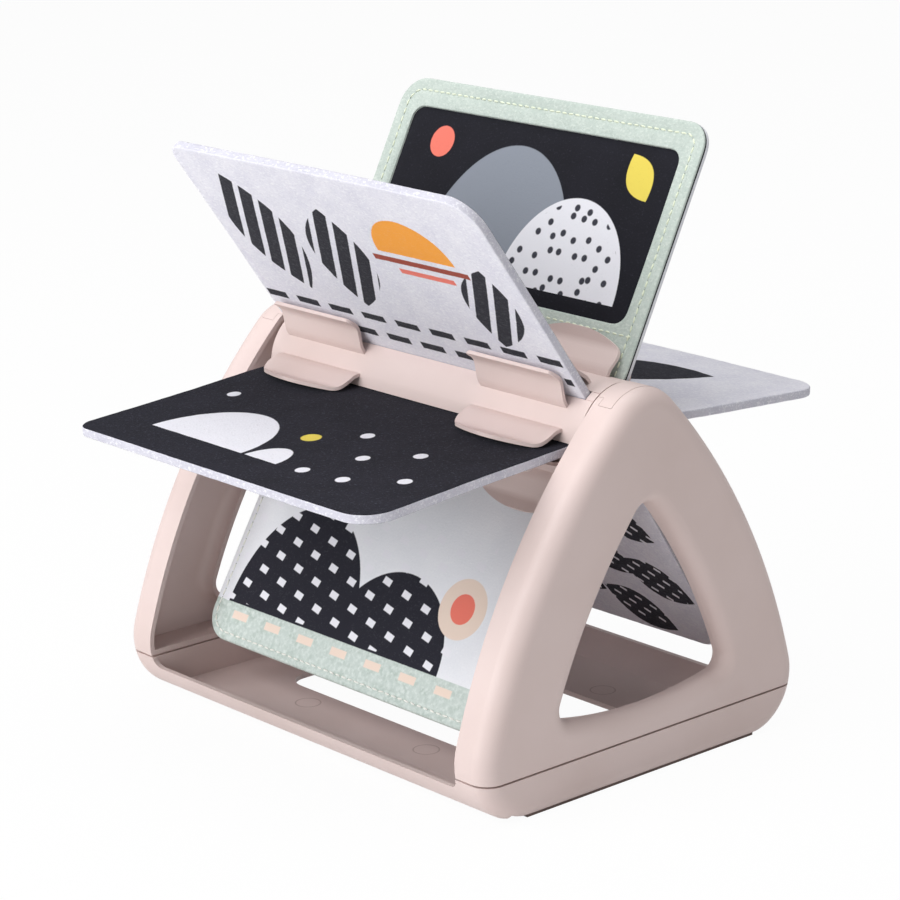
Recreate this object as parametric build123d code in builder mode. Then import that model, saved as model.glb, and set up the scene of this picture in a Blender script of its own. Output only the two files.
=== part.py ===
# Spinning baby book: six soft pages clipped into a hub that turns in a moulded stand.
# Millimetres, +Z up, X along the hub axis, -Y towards the front, origin on the floor below the hub.

import os
from math import cos, radians, sin, sqrt

from build123d import *

# Stand as a whole
axis_height = 128.0        # hub axis above the floor
hub_length = 175.5
hub_play = 4.5             # left between the hub's ends and the side frames, both together
frame_depth = 16.0         # side frame, inner rim to outer face
wall = 2.0                 # moulded plastic
apex_radius = 21.2         # top of the arch, about the hub axis
side_radius = 265.0        # bulging sides of the arch
side_centre_drop = 172.5   # centres of the side arcs, below the hub axis
corner_radius = 23.5       # lower corners of the end view
belly_depth = 1.3          # lowest point of the uncut end view, below the floor
edge_radius = 7.5          # soft outer edge of the frames and the base ends
parting_height = 16.4      # deck of the base, where the side frames stand
parting_reveal = 0.8       # height of the shadow groove above the deck
reveal_depth = 1.4         # how far the groove goes in

# Window of a side frame
window_band = 34.4         # width of the arch beside the window
window_sill = 27.0         # lowest point of the window above the floor
window_sill_radius = 190.0
window_corner = 6.0
window_roll = 6.0          # rolled outer edge
window_depth = 8.0         # how far the rolled rim reaches in

# Base tray
foot_height = 1.2          # underside of the base above the floor
lip_height = 12.4          # front and back lips above the floor
lip_setback = 0.4          # where the lips start, from the end blocks
lip_blend = 3.9            # rounding between lip and end block
opening_margin = 28.0      # side frame to the opening in the tray's floor
opening_width = 74.0
opening_corner = 10.0
foot_strip_height = 3.2    # whole strip, of which the foot height shows
foot_strip_gap = 0.15      # along the strip in its pocket
foot_strip_inset = 8.0     # strip ends, from the ends of the pocket

# Snap tabs that hold a side frame on the deck
tab_spacing = 96.0
tab_length = 14.0
tab_thickness = 2.6
tab_reach = 7.0
tab_clearance = 0.2

# Axle pins, saddles and the caps that close them
pin_radius = 5.0
pin_running_clearance = 0.08
pin_collar_radius = 7.5
pin_end_clearance = 0.4    # collar to saddle
pin_grip = 14.0            # length held inside the hub
pin_seat_gap = 0.03        # between the pin and the hub's boss
pin_tail = 4.0             # pin end past the saddle
saddle_inset = 3.0         # saddle web, from the inner rim
saddle_width = 4.0
saddle_drop = 13.0         # web below the hub axis
cap_depth = 9.4            # cap along the axis, from the inner rim
cap_angle = 43.0           # half angle of the cap about the hub axis
cap_step_angle = 33.0      # half angle of its narrow part at the rim
cap_step_depth = 2.7
cap_clearance = 0.15

# Hub
hub_radius = 21.0
hub_shift = 1.45           # the hub has slid towards the right frame
hub_phase = 4.1            # turn of the hub at rest
page_count = 6
groove_width = 4.4
groove_floor = 15.4        # radius of the groove floors
groove_end_gap = 0.3       # page end to groove end
seam_width = 0.25          # hairlines that carry the groove on to the hub's ends
seam_depth = 0.4
boss_wall = 3.0

# Clips on the hub, two on each face of each page
clip_inset = 31.5          # end of a centred hub to the middle of a clip
clip_thickness = 1.35
clip_root = 18.2           # radius where a clip starts in the drum wall
clip_root_gap = 5.6        # clip face to the plane of its slot
clip_knee = 22.5           # radius where it turns in towards the page
clip_pinch = 31.0          # radius where it comes nearest
clip_pinch_gap = 2.05
clip_bend_radius = 6.0
clip_give = 0.35           # how far a clip springs back with a page that leans on it
square_clip_width = 46.0
square_clip_tip = 36.8
square_clip_tip_gap = 4.4
square_clip_corner = 2.6
round_clip_width = 48.0
round_clip_tip = 36.6
round_clip_tip_gap = 3.4
round_clip_corner = 7.0
round_clip_bulge = 50.0    # radius of its tip edge

# Pages
page_root = 16.4           # radius of the inner edge
page_pivot = 19.0          # radius about which a page leans in its groove
page_root_corner = 5.0
felt_margin = 5.5          # a felt page is shorter than the hub
felt_thickness = 3.6
felt_corners = (7.0, 13.0)      # outer corners, left and right
fabric_margin = 7.5        # a fabric page is shorter than the hub
fabric_thickness = 3.4
fabric_corners = (12.0, 10.0)
sweep_clearance = 3.8      # outer edge of the longest page over the tray's floor
felt_short = 1.8           # felt pages reach less far than the fabric ones

# Sizes that follow from these
frame_gap = hub_length + hub_play
opening_length = frame_gap - 2 * opening_margin
clip_spacing = hub_length - 2 * clip_inset
felt_length = hub_length - felt_margin
fabric_length = hub_length - fabric_margin
fabric_reach = axis_height - foot_height - wall - sweep_clearance
felt_reach = fabric_reach - felt_short
rim_x = frame_gap / 2
face_x = rim_x + frame_depth
saddle_x = rim_x + saddle_inset
hub_left = hub_shift - hub_length / 2
hub_right = hub_shift + hub_length / 2
slot_pitch = 360 / page_count
frame_floor = parting_height + parting_reveal
cut_size = 3 * side_radius
side_reach = side_radius - apex_radius
side_centre = (-sqrt(side_reach**2 - side_centre_drop**2), axis_height - side_centre_drop)

# Pages in the order of their slots, each with its board and how far it leans in its slot, in degrees
felt = (felt_length, felt_reach, felt_thickness, felt_corners)
fabric = (fabric_length, fabric_reach, fabric_thickness, fabric_corners)
pages = {
    "white_felt_page": (felt, -7.3),
    "green_border_page": (fabric, -0.8),
    "striped_felt_page": (felt, 2.2),
    "black_felt_page": (felt, 0.4),
    "banded_fabric_page": (fabric, -4.6),
    "dashed_felt_page": (felt, -0.4),
}


def mirrored(point):
    return (-point[0], point[1])


def slab(low, high):
    # Horizontal band of an end view, much wider than the object
    with BuildSketch() as shape:
        with Locations((0, (low + high) / 2)):
            Rectangle(cut_size, high - low)
    return shape.sketch


def end_view(inset, low, high):
    # Arch outline, moved inwards and kept between two heights
    with BuildSketch() as shape:
        with Locations(side_centre):
            Circle(side_radius - inset)
        with Locations(mirrored(side_centre)):
            Circle(side_radius - inset, mode=Mode.INTERSECT)
        add(slab(inset - belly_depth, cut_size), mode=Mode.INTERSECT)
        fillet(shape.vertices().sort_by(Axis.Y)[-1], apex_radius - inset)
        fillet(shape.vertices().group_by(Axis.Y)[0], corner_radius - inset)
        add(slab(low, high), mode=Mode.INTERSECT)
    return shape.sketch


def window_view(grow):
    # Three bulging sides with rounded corners
    with BuildSketch() as shape:
        with Locations(side_centre):
            Circle(side_radius - window_band + grow)
        with Locations(mirrored(side_centre)):
            Circle(side_radius - window_band + grow, mode=Mode.INTERSECT)
        with Locations((0, window_sill + window_sill_radius)):
            Circle(window_sill_radius + grow, mode=Mode.INTERSECT)
        fillet(shape.vertices(), window_corner + grow)
    return shape.sketch


def apex_sector(half_angle, inner, outer):
    # Ring sector over the hub axis
    far = 2 * outer
    side = far * sin(radians(half_angle))
    top = far * cos(radians(half_angle))
    with BuildSketch() as shape:
        with Locations((0, axis_height)):
            with BuildLine():
                Polyline((0, axis_height), (side, axis_height + top), (-side, axis_height + top), close=True)
            make_face()
            Circle(outer, mode=Mode.INTERSECT)
            Circle(inner, mode=Mode.SUBTRACT)
    return shape.sketch


def slot_plane(angle, facing=1, x=0.0):
    # Across the hub: local x outwards along the slot, local y off the page
    outwards = (0, cos(radians(angle)), sin(radians(angle)))
    return Plane(origin=(x, 0, axis_height), x_dir=outwards, z_dir=(facing, 0, 0))


def page_plane(angle, lean=0.0):
    # In the page: local x along the hub, local y outwards from where it leans
    tilt = radians(angle + lean)
    pivot = (0, page_pivot * cos(radians(angle)), axis_height + page_pivot * sin(radians(angle)))
    return Plane(origin=pivot, x_dir=(1, 0, 0), z_dir=(0, -sin(tilt), cos(tilt)))


def clip_section(tip, tip_gap):
    # Face of a clip from root to tip, turned in to pinch the page and out again, thickened away from it
    root = (clip_root, clip_root_gap)
    knee = (clip_knee, clip_root_gap)
    pinch = (clip_pinch, clip_pinch_gap)
    with BuildSketch() as shape:
        with BuildLine():
            FilletPolyline(root, knee, pinch, (tip, tip_gap), radius=clip_bend_radius)
            offset(amount=clip_thickness, side=Side.LEFT)
        make_face()
    return shape.sketch


def finish(part, name):
    part.label = name
    export_step(part, f"parts/{name}.step")


os.makedirs("parts", exist_ok=True)

# Hollow of a side frame, open towards the hub
with BuildPart() as frame_hollow:
    with BuildSketch(Plane.YZ.offset(rim_x)):
        add(end_view(wall, frame_floor + wall, cut_size))
        add(window_view(wall), mode=Mode.SUBTRACT)
    extrude(amount=frame_depth - wall)
    hollow_end = frame_hollow.faces().sort_by(Axis.X)[-1]
    fillet(hollow_end.outer_wire().edges().filter_by(GeomType.CIRCLE), edge_radius - wall)
    hollow_end = frame_hollow.faces().sort_by(Axis.X)[-1]
    fillet(hollow_end.inner_wires()[0].edges(), window_roll - wall)

# Right side frame: arched shell with a rolled window rim and a saddle for the axle pin
with BuildPart() as right_side_frame:
    with BuildSketch(Plane.YZ.offset(rim_x)):
        add(end_view(0, frame_floor, cut_size))
    extrude(amount=frame_depth)
    outer_face = right_side_frame.faces().sort_by(Axis.X)[-1]
    fillet(outer_face.edges().filter_by(GeomType.CIRCLE), edge_radius)
    with BuildSketch(Plane.YZ.offset(rim_x)):
        add(window_view(0))
    extrude(amount=frame_depth, mode=Mode.SUBTRACT)
    outer_face = right_side_frame.faces().sort_by(Axis.X)[-1]
    fillet(outer_face.inner_wires()[0].edges(), window_roll)
    add(frame_hollow.part, mode=Mode.SUBTRACT)
    with BuildSketch(Plane.YZ.offset(rim_x)):
        add(window_view(wall))
    extrude(amount=frame_depth - window_depth, mode=Mode.SUBTRACT)
    # Saddle web across the top of the arch, open upwards
    with BuildSketch(Plane.YZ.offset(saddle_x)):
        add(end_view(wall / 2, axis_height - saddle_drop, cut_size))
    extrude(amount=saddle_width)
    with BuildSketch(Plane.YZ.offset(saddle_x)):
        with Locations((0, axis_height)):
            Circle(pin_radius + pin_running_clearance)
        with Locations((0, axis_height + apex_radius)):
            Rectangle(2 * (pin_radius + pin_running_clearance), 2 * apex_radius)
    extrude(amount=saddle_width, mode=Mode.SUBTRACT)
    # Notch for the cap
    with BuildSketch(Plane.YZ.offset(rim_x)):
        add(apex_sector(cap_step_angle, apex_radius - wall, 2 * apex_radius))
    extrude(amount=cap_step_depth, mode=Mode.SUBTRACT)
    with BuildSketch(Plane.YZ.offset(rim_x + cap_step_depth)):
        add(apex_sector(cap_angle, apex_radius - wall, 2 * apex_radius))
    extrude(amount=cap_depth - cap_step_depth, mode=Mode.SUBTRACT)
    # Seat that stands on the deck, set in to leave a shadow groove
    with BuildSketch(Plane.YZ.offset(rim_x + reveal_depth)):
        add(end_view(reveal_depth, parting_height, frame_floor + wall))
    extrude(amount=frame_depth - 2 * reveal_depth - edge_radius)
    # Snap tabs
    with BuildSketch(Plane.XY.offset(parting_height - tab_reach)):
        with Locations((rim_x + frame_depth / 2, 0)):
            with GridLocations(0, tab_spacing, 1, 2):
                Rectangle(tab_thickness, tab_length)
    extrude(amount=tab_reach + parting_reveal + wall)

with BuildPart() as left_side_frame:
    mirror(right_side_frame.part, about=Plane.YZ)

# Cap that drops into the notch and closes the saddle over the pin
with BuildPart() as right_axle_cap:
    gap_angle = cap_clearance / radians(1) / apex_radius
    with BuildSketch(Plane.YZ.offset(rim_x)):
        add(apex_sector(cap_step_angle - gap_angle, apex_radius - wall, apex_radius))
    extrude(amount=cap_depth - cap_clearance)
    with BuildSketch(Plane.YZ.offset(rim_x + cap_step_depth + cap_clearance)):
        add(apex_sector(cap_angle - gap_angle, apex_radius - wall, apex_radius))
    extrude(amount=cap_depth - cap_step_depth - 2 * cap_clearance)
    with BuildSketch(Plane.YZ.offset(saddle_x + cap_clearance)):
        with Locations((0, axis_height + apex_radius / 2)):
            Rectangle(2 * (pin_radius - cap_clearance), apex_radius)
        with Locations((0, axis_height)):
            Circle(apex_radius - wall / 2, mode=Mode.INTERSECT)
            Circle(pin_radius + 2 * cap_clearance, mode=Mode.SUBTRACT)
    extrude(amount=saddle_width - 2 * cap_clearance)

with BuildPart() as left_axle_cap:
    mirror(right_axle_cap.part, about=Plane.YZ)

# Base: shallow tray with lips along the front and back and a hollow block under each side frame
with BuildPart() as base_tray:
    with BuildSketch(Plane.YZ.offset(-face_x)):
        add(end_view(0, -belly_depth, parting_height))
    extrude(amount=2 * face_x)
    for end in base_tray.faces().filter_by(Axis.X):
        fillet(end.edges() - end.edges().group_by(Axis.Z)[-1], edge_radius)
    split(bisect_by=Plane.XY.offset(foot_height), keep=Keep.TOP)
    with BuildSketch(Plane.YZ.offset(-rim_x)):
        add(end_view(wall, foot_height + wall, cut_size))
    extrude(amount=frame_gap, mode=Mode.SUBTRACT)
    # Lips stand lower than the end blocks
    with BuildSketch(Plane.XZ):
        with Locations((0, lip_height + wall * lip_blend)):
            RectangleRounded(frame_gap - 2 * lip_setback, 2 * wall * lip_blend, lip_blend)
    extrude(amount=cut_size, both=True, mode=Mode.SUBTRACT)
    with BuildSketch(Plane.XY.offset(foot_height)):
        RectangleRounded(opening_length, opening_width, opening_corner)
    extrude(amount=wall, mode=Mode.SUBTRACT)
    # Pockets of the end blocks, which hold the foot strips
    pocket_width = frame_depth - 2 * wall
    pocket_length = 2 * base_tray.faces().sort_by(Axis.Z)[0].bounding_box().max.Y - 2 * wall
    with BuildSketch(Plane.XY.offset(foot_height)):
        with GridLocations(frame_gap + frame_depth, 0, 2, 1):
            Rectangle(pocket_width, pocket_length)
    extrude(amount=parting_height - foot_height - wall, mode=Mode.SUBTRACT)
    # Slots for the snap tabs
    with BuildSketch(Plane.XY.offset(parting_height - wall)):
        with GridLocations(frame_gap + frame_depth, tab_spacing, 2, 2):
            Rectangle(tab_thickness + 2 * tab_clearance, tab_length + 2 * tab_clearance)
    extrude(amount=wall, mode=Mode.SUBTRACT)

# Soft strip in the mouth of each pocket: the part that stands on the floor
with BuildPart() as right_foot_strip:
    with BuildSketch(Plane.XY):
        with Locations((rim_x + frame_depth / 2, 0)):
            Rectangle(pocket_width - 2 * foot_strip_gap, pocket_length - 2 * foot_strip_inset)
    extrude(amount=foot_strip_height)

with BuildPart() as left_foot_strip:
    mirror(right_foot_strip.part, about=Plane.YZ)

# Square clip: local x outwards along the slot, y off the page, z along the hub
with BuildPart() as square_clip:
    with BuildSketch():
        add(clip_section(square_clip_tip, square_clip_tip_gap))
    extrude(amount=square_clip_width / 2, both=True)
    with BuildSketch(Plane.XZ):
        with Locations((clip_root, 0)):
            RectangleRounded(2 * (square_clip_tip - clip_root), square_clip_width, square_clip_corner)
    extrude(amount=clip_pinch, both=True, mode=Mode.INTERSECT)

# Round clip: the tip edge bulges between rounder corners
with BuildPart() as round_clip:
    with BuildSketch():
        add(clip_section(round_clip_tip, round_clip_tip_gap))
    extrude(amount=round_clip_width / 2, both=True)
    with BuildSketch(Plane.XZ) as lobe:
        with Locations((clip_root, 0)):
            Rectangle(2 * (round_clip_tip - clip_root), round_clip_width)
        with Locations((round_clip_tip - round_clip_bulge, 0)):
            Circle(round_clip_bulge, mode=Mode.INTERSECT)
        fillet(lobe.vertices().group_by(Axis.X)[-1], round_clip_corner)
    extrude(amount=clip_pinch, both=True, mode=Mode.INTERSECT)

# Which kind of clip grips the two faces of each page, in the order of their slots: towards the next slot, then
# towards the one before
clips = [
    (round_clip, square_clip),
    (round_clip, square_clip),
    (square_clip, round_clip),
    (square_clip, round_clip),
    (square_clip, round_clip),
    (round_clip, square_clip),
]

# Hub drum with a groove for each page, its end walls, pin bosses and clips
with BuildPart() as hub_drum:
    groove_depth = hub_radius - groove_floor
    channel_depth = groove_depth + wall
    groove_length = felt_length + 2 * groove_end_gap
    with BuildSketch(slot_plane(0, x=hub_left)):
        Circle(hub_radius)
        Circle(hub_radius - wall, mode=Mode.SUBTRACT)
        with PolarLocations(hub_radius - channel_depth / 2, page_count, start_angle=hub_phase):
            Rectangle(channel_depth, groove_width + 2 * wall)
        Circle(hub_radius, mode=Mode.INTERSECT)
    extrude(amount=hub_length)
    with BuildSketch(slot_plane(0, x=hub_left)):
        with PolarLocations(hub_radius, page_count, start_angle=hub_phase):
            with GridLocations(0, groove_width - seam_width, 1, 2):
                Rectangle(2 * seam_depth, seam_width)
    extrude(amount=hub_length, mode=Mode.SUBTRACT)
    with BuildSketch(slot_plane(0, x=-groove_length / 2)):
        with PolarLocations(hub_radius, page_count, start_angle=hub_phase):
            Rectangle(2 * groove_depth, groove_width)
    extrude(amount=groove_length, mode=Mode.SUBTRACT)
    # End walls stand inside the seams
    for wall_start, wall_end in ((hub_left, -groove_length / 2), (groove_length / 2, hub_right)):
        with BuildSketch(slot_plane(0, x=wall_start)):
            Circle(hub_radius - seam_depth)
        extrude(amount=wall_end - wall_start)
    for boss_start in (hub_left, hub_right - pin_grip):
        with BuildSketch(slot_plane(0, x=boss_start)):
            Circle(pin_radius + boss_wall)
        extrude(amount=pin_grip)
    with BuildSketch(slot_plane(0, x=hub_left)):
        Circle(pin_radius + pin_seat_gap)
    extrude(amount=hub_length, mode=Mode.SUBTRACT)
    for slot, (size, lean) in enumerate(pages.values()):
        for facing, kind in zip((1, -1), clips[slot]):
            give = clip_give * max(0.0, facing * lean)
            angle = hub_phase + slot * slot_pitch + facing * give
            for side in (-1, 1):
                with Locations(slot_plane(angle, facing, side * clip_spacing / 2).location):
                    add(kind.part)

# The drum is moulded as two halves that meet in the floor of one pair of grooves
split_plane = page_plane(hub_phase + 2 * slot_pitch)
with BuildPart() as hub_front_half:
    add(hub_drum.part)
    split(bisect_by=split_plane, keep=Keep.TOP)

with BuildPart() as hub_back_half:
    add(hub_drum.part)
    split(bisect_by=split_plane, keep=Keep.BOTTOM)

# Axle pin: shank in the hub's boss, collar against the end wall, journal in the saddle
with BuildPart() as right_axle_pin:
    journal_end = saddle_x + saddle_width + pin_tail
    with BuildSketch(slot_plane(0, x=hub_right - pin_grip)):
        Circle(pin_radius)
    extrude(amount=journal_end - hub_right + pin_grip)
    with BuildSketch(slot_plane(0, x=hub_right)):
        Circle(pin_collar_radius)
    extrude(amount=saddle_x - pin_end_clearance - hub_right)

with BuildPart() as left_axle_pin:
    mirror(right_axle_pin.part, about=Plane.YZ.offset(hub_shift))

finish(base_tray.part, "base_tray")
finish(right_side_frame.part, "right_side_frame")
finish(left_side_frame.part, "left_side_frame")
finish(right_axle_cap.part, "right_axle_cap")
finish(left_axle_cap.part, "left_axle_cap")
finish(right_foot_strip.part, "right_foot_strip")
finish(left_foot_strip.part, "left_foot_strip")
finish(hub_front_half.part, "hub_front_half")
finish(hub_back_half.part, "hub_back_half")
finish(right_axle_pin.part, "right_axle_pin")
finish(left_axle_pin.part, "left_axle_pin")

# Pages: flat boards with rounded corners, each at its own lean
for slot, (name, ((length, reach, thickness, corners), lean)) in enumerate(pages.items()):
    with BuildPart() as page:
        with BuildSketch(page_plane(hub_phase + slot * slot_pitch, lean)) as outline:
            with Locations((0, (page_root + reach) / 2 - page_pivot)):
                Rectangle(length, reach - page_root)
            fillet(outline.vertices().group_by(Axis.Y)[0], page_root_corner)
            fillet(outline.vertices().group_by(Axis.Y)[-1].sort_by(Axis.X)[0], corners[0])
            fillet(outline.vertices().group_by(Axis.Y)[-1].sort_by(Axis.X)[-1], corners[1])
        extrude(amount=thickness / 2, both=True)
    finish(page.part, name)
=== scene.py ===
# Spinning baby book: soft pages on a hub in a moulded stand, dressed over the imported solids.
import math

import bpy
import numpy as np
from mathutils import Matrix, Vector, noise


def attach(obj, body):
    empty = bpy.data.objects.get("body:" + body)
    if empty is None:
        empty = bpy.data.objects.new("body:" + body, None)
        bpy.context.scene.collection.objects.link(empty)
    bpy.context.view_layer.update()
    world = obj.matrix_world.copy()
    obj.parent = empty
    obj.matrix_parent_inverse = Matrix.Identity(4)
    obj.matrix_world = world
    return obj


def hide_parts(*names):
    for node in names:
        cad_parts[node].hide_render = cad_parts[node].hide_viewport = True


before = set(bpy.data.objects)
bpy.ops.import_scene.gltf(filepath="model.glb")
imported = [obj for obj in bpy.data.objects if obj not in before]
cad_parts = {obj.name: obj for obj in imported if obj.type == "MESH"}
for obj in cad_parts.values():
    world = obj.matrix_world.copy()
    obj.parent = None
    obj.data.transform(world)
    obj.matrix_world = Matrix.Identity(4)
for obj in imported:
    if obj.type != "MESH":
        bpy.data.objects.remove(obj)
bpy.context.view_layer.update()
print("frame loaded:", len(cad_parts), "nodes")


# Small helpers

def srgb(code):
    # sRGB hex to linear colour
    parts = [int(code[i:i + 2], 16) / 255 for i in (1, 3, 5)]
    return [c / 12.92 if c <= 0.04045 else ((c + 0.055) / 1.055) ** 2.4 for c in parts] + [1.0]


def addNode(tree, kind, settings=(), inputs=()):
    # A node with its settings and links; a node given as an input is linked by its first output
    node = tree.nodes.new(kind)
    for name, value in dict(settings).items():
        setattr(node, name, value)
    for name, value in dict(inputs).items():
        if isinstance(value, bpy.types.Node):
            value = value.outputs[0]
        if isinstance(value, bpy.types.NodeSocket):
            tree.links.new(value, node.inputs[name])
        else:
            node.inputs[name].default_value = value
    return node


def newMaterial(name):
    material = bpy.data.materials.new(name)
    material.use_nodes = True
    tree = material.node_tree
    tree.nodes.clear()
    shader = addNode(tree, "ShaderNodeBsdfPrincipled")
    addNode(tree, "ShaderNodeOutputMaterial", inputs={"Surface": shader})
    return material, tree, shader


# Stand, hub and caps: injection-moulded ABS, satin from a fine spark-eroded mould, so it shows soft broad
# highlights, a faint grain and hardly any change of colour
standLook = {
    "colour": "#E0CDC9",
    "shade": "#D9C5C0",      # slow drift of tone over a moulding
    "driftMm": 60.0,
    "roughness": 0.46,
    "grainMm": 0.55,         # real grain is near 0.1 mm, drawn coarser so that it shows
    "grainDepth": 0.05,
    "markRadius": 5.0,       # rings left by ejector pins on the tray's floor
    "markWidth": 0.3,
    "markDepth": 2.2,        # in grain depths
    "markTone": "#A68F88",
    "markPlaces": [(-35, -47.5), (35, -47.5), (-35, 47.5), (35, 47.5)],
}
# Foot strips: soft thermoplastic rubber, dull and a little dusty
rubberLook = {"colour": "#6A5852", "shade": "#7A6862", "driftMm": 14.0, "roughness": 0.82, "grainMm": 0.8,
              "grainDepth": 0.12}
# Pins: natural acetal, waxy
pinLook = {"colour": "#E2DED6", "shade": "#D8D3C9", "driftMm": 12.0, "roughness": 0.36, "grainMm": 0.7,
           "grainDepth": 0.02}


def mouldedFinish(name, look, marks=()):
    material, tree, shader = newMaterial(name)
    place = addNode(tree, "ShaderNodeTexCoord").outputs["Object"]
    millimetres = addNode(tree, "ShaderNodeVectorMath", {"operation": "SCALE"}, {0: place, "Scale": 1000.0})
    drift = addNode(tree, "ShaderNodeTexNoise", {},
                    {"Vector": millimetres, "Scale": 1 / look["driftMm"], "Detail": 3.0})
    grain = addNode(tree, "ShaderNodeTexNoise", {},
                    {"Vector": millimetres, "Scale": 1 / look["grainMm"], "Detail": 2.0})
    tone = addNode(tree, "ShaderNodeMapRange", {}, {"Value": drift, 1: 0.35, 2: 0.65})
    colour = addNode(tree, "ShaderNodeMix", {"data_type": "RGBA"},
                     {0: tone, 6: srgb(look["shade"]), 7: srgb(look["colour"])}).outputs[2]
    height = grain.outputs[0]
    for x, y in marks:
        # Shallow ring, fainter in places
        local = addNode(tree, "ShaderNodeVectorMath", {"operation": "MULTIPLY_ADD"},
                        {0: millimetres, 1: (1, 1, 0), 2: (-x, -y, 0)})
        away = addNode(tree, "ShaderNodeVectorMath", {"operation": "LENGTH"}, {0: local}).outputs["Value"]
        ring = addNode(tree, "ShaderNodeMath", {"operation": "COMPARE"},
                       {0: away, 1: look["markRadius"], 2: look["markWidth"]})
        faint = addNode(tree, "ShaderNodeMath", {"operation": "MULTIPLY"}, {0: ring, 1: drift})
        colour = addNode(tree, "ShaderNodeMix", {"data_type": "RGBA"},
                         {0: faint, 6: colour, 7: srgb(look["markTone"])}).outputs[2]
        height = addNode(tree, "ShaderNodeMath", {"operation": "MULTIPLY_ADD"},
                         {0: ring, 1: -look["markDepth"], 2: height}).outputs[0]
    bump = addNode(tree, "ShaderNodeBump", {},
                   {"Strength": 0.5, "Distance": look["grainDepth"] / 1000, "Height": height})
    gloss = addNode(tree, "ShaderNodeMapRange", {},
                    {"Value": grain, 3: look["roughness"] - 0.05, 4: look["roughness"] + 0.07})
    tree.links.new(colour, shader.inputs["Base Color"])
    tree.links.new(gloss.outputs[0], shader.inputs["Roughness"])
    tree.links.new(bump.outputs[0], shader.inputs["Normal"])
    shader.inputs["IOR"].default_value = 1.5
    return material


standAbs = mouldedFinish("moulded_abs_pink_beige", standLook)
trayAbs = mouldedFinish("moulded_abs_tray", standLook, standLook["markPlaces"])
footRubber = mouldedFinish("soft_rubber_foot", rubberLook)
pinAcetal = mouldedFinish("acetal_pin", pinLook)
nodeFinish = {
    "base_tray": trayAbs, "right_side_frame": standAbs, "left_side_frame": standAbs,
    "right_axle_cap": standAbs, "left_axle_cap": standAbs,
    "hub_front_half": standAbs, "hub_back_half": standAbs,
    "right_foot_strip": footRubber, "left_foot_strip": footRubber,
    "right_axle_pin": pinAcetal, "left_axle_pin": pinAcetal,
}
for nodeName, material in nodeFinish.items():
    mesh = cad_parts[nodeName].data
    mesh.materials.clear()
    mesh.materials.append(material)
print("stand finished")


# Printed felt and cloth. A print is a list of simple shapes in page millimetres: u along the hub from the
# middle, v outwards from the page's inner edge. Each shape has its place, half sizes, turn in degrees and
# ink, and may be filled with stripes, dashes, dots or heather instead of plain ink.
inkEdge = 0.16               # half the width of an outline's soft edge
dotEdge = 0.03               # the same for dots, as a share of their pitch
rowShift = 0.37              # each row of dashes starts this share of a step after the one before it
halfCut = 30.0               # how sharply a half disc is cut across


def stripeMask(tree, across, pitch, width):
    wave = addNode(tree, "ShaderNodeMath", {"operation": "PINGPONG"}, {0: across, 1: pitch / 2})
    return addNode(tree, "ShaderNodeMapRange", {},
                   {"Value": wave, 1: width / 2 - inkEdge, 2: width / 2 + inkEdge, 3: 1.0, 4: 0.0})


def fillMask(tree, place, fill):
    # 1 where the fill has ink, 0 between
    turned = addNode(tree, "ShaderNodeMapping", {"vector_type": "TEXTURE"},
                     {"Vector": place, "Location": (*fill.get("from", (0, 0)), 0),
                      "Rotation": (0, 0, math.radians(fill.get("turn", 0)))})
    if fill["form"] == "heather":
        tufts = addNode(tree, "ShaderNodeTexNoise", {},
                        {"Vector": turned, "Scale": 1 / fill["pitch"], "Detail": 3.0})
        return addNode(tree, "ShaderNodeMapRange", {}, {"Value": tufts, 1: 0.45, 2: 0.7, 4: fill["share"]})
    if fill["form"] == "dots":
        cells = addNode(tree, "ShaderNodeTexVoronoi", {"voronoi_dimensions": "2D"},
                        {"Vector": turned, "Scale": 1 / fill["pitch"], "Randomness": 0.7})
        return addNode(tree, "ShaderNodeMapRange", {},
                       {"Value": cells.outputs["Distance"], 1: fill["share"] - dotEdge,
                        2: fill["share"] + dotEdge, 3: 1.0, 4: 0.0})
    parts = addNode(tree, "ShaderNodeSeparateXYZ", {}, {0: turned})
    stripes = stripeMask(tree, parts.outputs[1], fill["pitch"], fill["width"])
    if fill["form"] == "stripes":
        return stripes
    row = addNode(tree, "ShaderNodeMath", {"operation": "DIVIDE"}, {0: parts.outputs[1], 1: fill["pitch"]})
    row = addNode(tree, "ShaderNodeMath", {"operation": "ROUND"}, {0: row})
    along = addNode(tree, "ShaderNodeMath", {"operation": "MULTIPLY_ADD"},
                    {0: row, 1: fill["step"] * rowShift, 2: parts.outputs[0]})
    ends = stripeMask(tree, along, fill["step"], fill["length"])
    return addNode(tree, "ShaderNodeMath", {"operation": "MULTIPLY"}, {0: stripes, 1: ends})


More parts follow.
